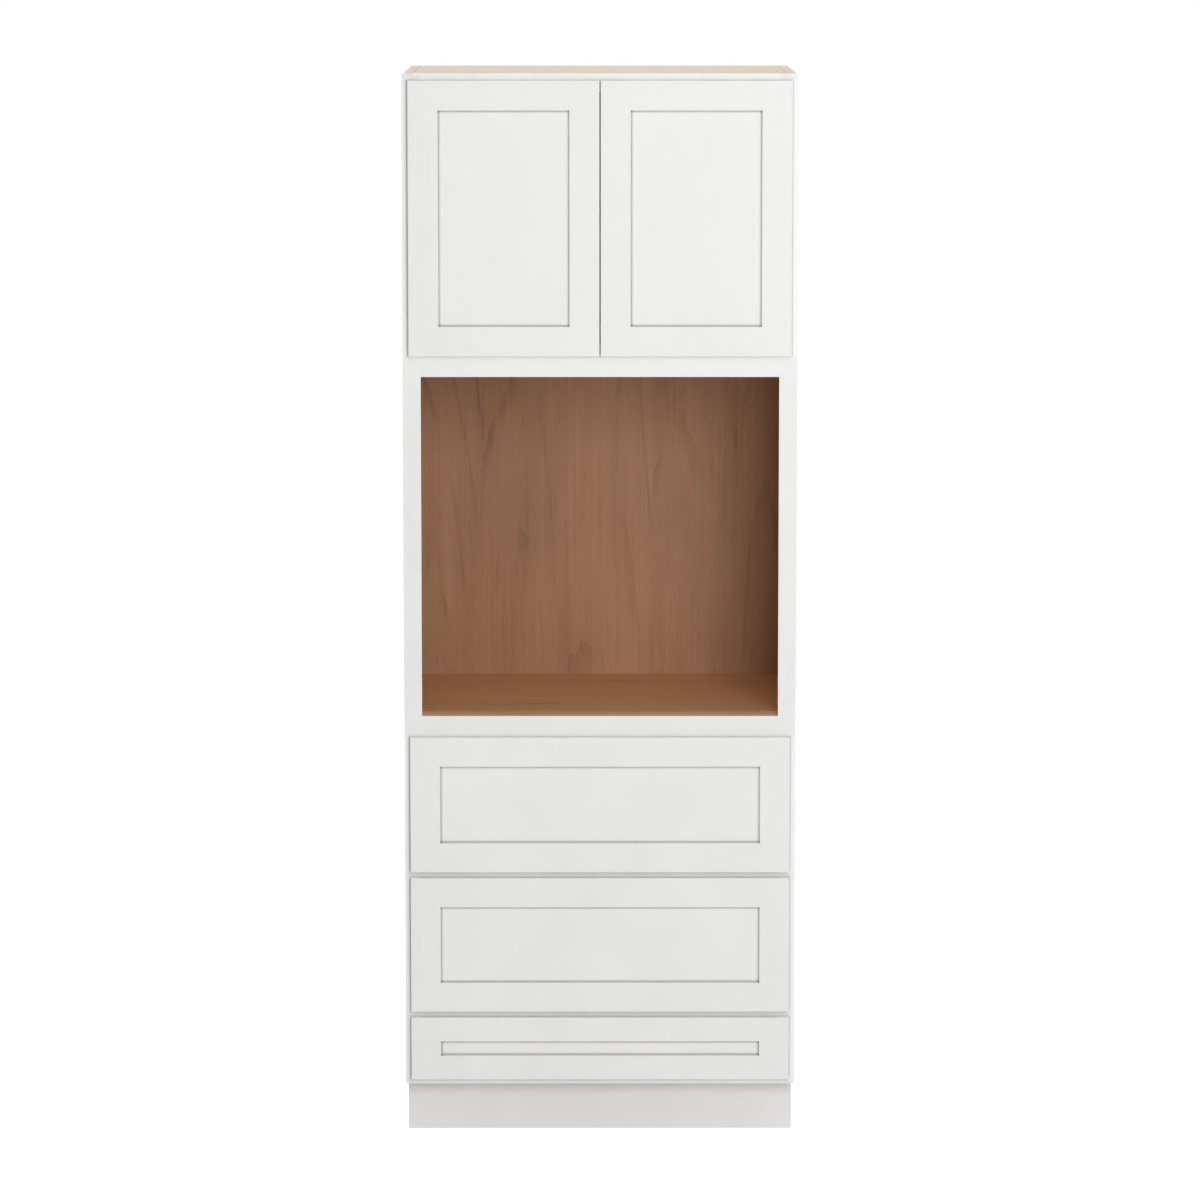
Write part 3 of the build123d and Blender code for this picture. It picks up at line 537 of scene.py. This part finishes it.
# %% Plated steel
def plated_steel(name, bright, dull, order, streak, roughness):
    """Plated sheet with rolling streaks along the order's last axis."""
    material, add = new_finish(name)
    place = partial(place_in, add, order=order)
    streaks = add("TexNoise", {"Vector": place(streak), "Scale": 1.0, "Detail": 3.0})
    smudges = add("TexNoise", {"Vector": place((14, 14, 14)), "Scale": 1.0, "Detail": 3.0})
    mixed = add("Mix", {"Factor": 0.5, "A": smudges, "B": streaks})
    rough = add("Math", (smudges, 0.16, roughness - 0.13), operation="MULTIPLY_ADD")
    surface = {
        "Base Color": add("ValToRGB", {"Fac": mixed}, stops=((0.35, dull), (0.65, bright))),
        "Metallic": 1.0,
        "Roughness": add("Math", (streaks, 0.10, rough), operation="MULTIPLY_ADD"),
        "Normal": add("Bump", {"Height": streaks, "Distance": 0.00001}),
    }
    add("OutputMaterial", {"Surface": add("BsdfPrincipled", surface)})
    return material


zinc = plated_steel(
    "bright zinc-plated steel", "#C3C7CB", "#A3A8AD", "XZY", streak=(0.8, 0.8, 40), roughness=0.36
)
nickel = plated_steel(
    "nickel-plated steel", "#D6D0C6", "#BDB6AB", "XYZ", streak=(1.5, 1.5, 6), roughness=0.24
)
slide_pieces = ("slide_bases", "slide_brackets", "slide_runners", "slide_middles", "frame_screws")
hinge_pieces = ("hinge_arms", "hinge_pins", "hinge_cups", "_links", "shelf_pins")
for name in nodes:
    if name.endswith(slide_pieces):
        dress(name, lambda direction, middle: zinc)
    if name.endswith(hinge_pieces):
        dress(name, lambda direction, middle: nickel)
print(zinc.name, "and", nickel.name)

# %% [markdown]
# ## Bumpers
# The small round bumpers that a door closes on are soft polyurethane: clear when new and slightly
# milky. Some light enters and spreads before it comes out, which is what subsurface does.

# %% Bumpers
soft_plastic, add = new_finish("milky polyurethane")
haze = add("TexNoise", {"Vector": place_in(add, (3, 3, 3)), "Scale": 1.0, "Detail": 2.0})
surface = {
    "Base Color": add("ValToRGB", {"Fac": haze}, stops=((0.3, "#CFCEC6"), (0.7, "#E2E1DA"))),
    "Roughness": add("Math", (haze, 0.2, 0.25), operation="MULTIPLY_ADD"),
    "Normal": add("Bump", {"Height": haze, "Distance": 0.00005}),
    "IOR": 1.49,
    "Subsurface Weight": 0.35,
    "Subsurface Scale": 0.002,
}
add("OutputMaterial", {"Surface": add("BsdfPrincipled", surface)})
print("bumpers", dress("bumpers", lambda direction, middle: soft_plastic))

# %% [markdown]
# ## Studio
# A catalogue picture stands on white. The floor is pale card that takes the cabinet's shadow, and
# for the camera it glows a little as well, so that it meets the white background without an edge.
# More light would do that too, but it would wash out the cabinet. Light Path tells the shader
# whether the camera is looking, or a mirror-like surface, so the glow never lights the cabinet.

# %% Floor
def seen(add):
    """1 for what the camera, a gloss or a clear material sees directly, otherwise 0."""
    path = add("LightPath").outputs
    either = add("Math", (path["Is Camera Ray"], path["Is Glossy Ray"]), operation="MAXIMUM")
    return add("Math", (either, path["Is Transmission Ray"]), operation="MAXIMUM")


reach = 9.0
card_glow = 0.74
card = bpy.data.meshes.new("floor")
corners = [(-reach, -reach, 0), (reach, -reach, 0), (reach, reach, 0), (-reach, reach, 0)]
card.from_pydata(corners, [], [(0, 1, 2, 3)])
floor = bpy.data.objects.new("floor", card)
floor.location.z = -0.0005
bpy.context.scene.collection.objects.link(floor)
pale_card, add = new_finish("pale card")
fleece = add("TexNoise", {"Vector": place_in(add, (40, 40, 40)), "Scale": 1.0, "Detail": 2.0})
surface = {
    "Base Color": add("ValToRGB", {"Fac": fleece}, stops=((0.3, "#E4E4E3"), (0.7, "#E8E8E7"))),
    "Roughness": 0.9,
    "Emission Color": linear("#FFFFFF"),
    "Emission Strength": add("Math", (seen(add), card_glow), operation="MULTIPLY"),
}
add("OutputMaterial", {"Surface": add("BsdfPrincipled", surface)})
card.materials.append(pale_card)
print("the floor is", 2 * reach, "m wide")

# %% [markdown]
# ## Background
# The world is white where the camera sees it and dimmer where it lights the cabinet. That dimmer
# part is the light of the room, which fills the shadows a little.

# %% Background
world = bpy.data.worlds.new("white studio")
bpy.context.scene.world = world
world.use_nodes = True
world.node_tree.nodes.clear()
add = partial(add_node, world.node_tree)
ambient = 0.30
level = add("MapRange", {"Value": seen(add), "To Min": ambient, "To Max": 1.0})
background = add("Background", {"Color": linear("#FFFFFF"), "Strength": level})
add("OutputWorld", {"Surface": background})
print("the room gives", ambient, "of white paper's brightness")

# %% [markdown]
# ## Lamps
# The main lamp is a tall softbox well in front, a little to the right and above. So frontal a light
# reaches the back of the oven bay and leaves only a fine shadow beside and below each front, while
# the steep edges round the recessed panels turn away from it and draw thin grey lines. A weaker one
# high up in front shades the rail under the doors and the toe kick, as a bright ceiling would. Two
# lamps beside the cabinet, behind its front, light only its sides, and one above and behind lights
# the top and the back. None of those three changes how the front looks.

# %% Lamps
def softbox(name, place, towards, size, power):
    """A rectangular area lamp that looks at a point, and that the camera doesn't see."""
    lamp = bpy.data.lights.new(name, "AREA")
    lamp.shape = "RECTANGLE"
    lamp.size, lamp.size_y = size
    lamp.energy = power
    stand = bpy.data.objects.new(name, lamp)
    stand.location = place
    stand.visible_camera = False
    stand.rotation_euler = (Vector(towards) - Vector(place)).to_track_quat("-Z", "Y").to_euler()
    bpy.context.scene.collection.objects.link(stand)


softbox("front softbox", (1.35, -7.2, 2.5), (0.0, -0.3, 1.15), (2.3, 3.4), 222.0)
softbox("upper softbox", (0.6, -5.2, 5.6), (0.0, -0.3, 1.2), (3.0, 1.4), 34.0)
softbox("right softbox", (4.6, 1.2, 2.2), (0.4, 0.0, 1.2), (2.0, 3.0), 85.0)
softbox("left softbox", (-4.6, 1.2, 2.2), (-0.4, 0.0, 1.2), (2.0, 3.0), 70.0)
softbox("rear softbox", (0.0, 4.4, 4.2), (0.0, 0.3, 1.4), (2.4, 2.4), 62.0)
print("lamps:", [lamp.name for lamp in bpy.data.lights])

# %% [markdown]
# ## Colour management
# The Standard view shows a colour as it is written, which suits a catalogue picture.

# %% Finish
bpy.context.scene.view_settings.view_transform = "Standard"
